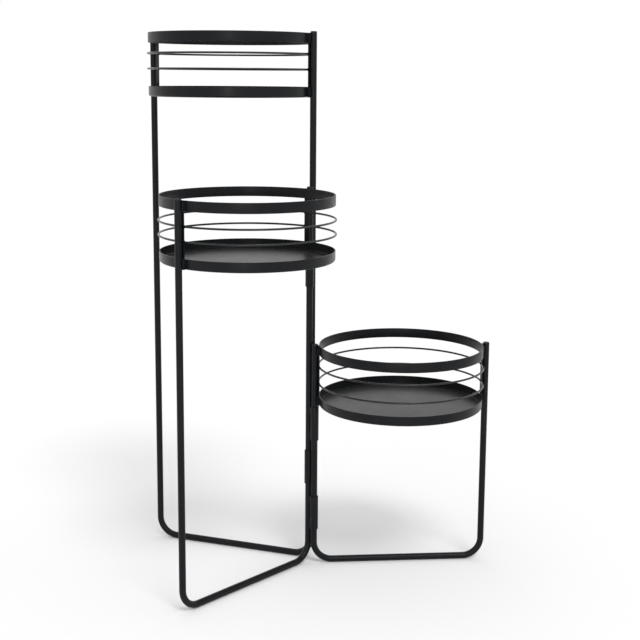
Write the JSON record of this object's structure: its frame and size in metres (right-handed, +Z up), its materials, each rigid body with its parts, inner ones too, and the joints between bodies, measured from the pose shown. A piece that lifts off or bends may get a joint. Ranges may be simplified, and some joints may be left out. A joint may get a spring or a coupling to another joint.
{
  "type": "plant stand",
  "caption": "Folding plant stand of hinged U-shaped tube frames of falling height, each with a round basket of band, wires and a shallow tray.",
  "frame": {"origin": "on the floor, at the centre of the bounding box of the stand as it is set up", "axes": "+Z up; the front as pictured faces -Y, with the tall frame at the rear left, the middle frame at the front left and the low frame towards +X"},
  "size_m": [0.5336, 0.4154, 0.8275],
  "materials": {
    "frame": "satin black powder coat",
    "cap": "matte black moulded plastic"
  },
  "bodies": {
    "tall": {"tall_leg_frame": "frame", "tall_cap_hinge": "cap", "tall_cap_outer": "cap", "tall_hoop": "frame", "tall_upper_wire_front": "frame", "tall_upper_wire_rear": "frame", "tall_lower_wire_front": "frame", "tall_lower_wire_rear": "frame", "tall_tray": "frame", "tall_strap_hinge": "frame", "tall_strap_outer": "frame", "middle_sleeve_upper": "frame", "middle_sleeve_lower": "frame"},
    "middle": {"middle_leg_frame": "frame", "middle_cap_hinge": "cap", "middle_cap_outer": "cap", "middle_hoop": "frame", "middle_upper_wire_front": "frame", "middle_upper_wire_rear": "frame", "middle_lower_wire_front": "frame", "middle_lower_wire_rear": "frame", "middle_tray": "frame", "middle_strap_hinge": "frame", "middle_strap_outer": "frame", "low_sleeve_upper": "frame", "low_sleeve_lower": "frame"},
    "low": {"low_leg_frame": "frame", "low_cap_hinge": "cap", "low_cap_outer": "cap", "low_hoop": "frame", "low_upper_wire_front": "frame", "low_upper_wire_rear": "frame", "low_lower_wire_front": "frame", "low_lower_wire_rear": "frame", "low_tray": "frame", "low_strap_hinge": "frame", "low_strap_outer": "frame"}
  },
  "joints": [
    {"name": "middle_hinge", "type": "hinge", "parent": "tall", "child": "middle", "pos_m": [-0.01411, 0.02164, 0], "axis": [0, 0, 1], "range_deg": [-68.5, 10]},
    {"name": "low_hinge", "type": "hinge", "parent": "middle", "child": "low", "pos_m": [-0.00513, 0.0137, 0], "axis": [0, 0, 1], "range_deg": [-136.5, 5]}
  ]
}
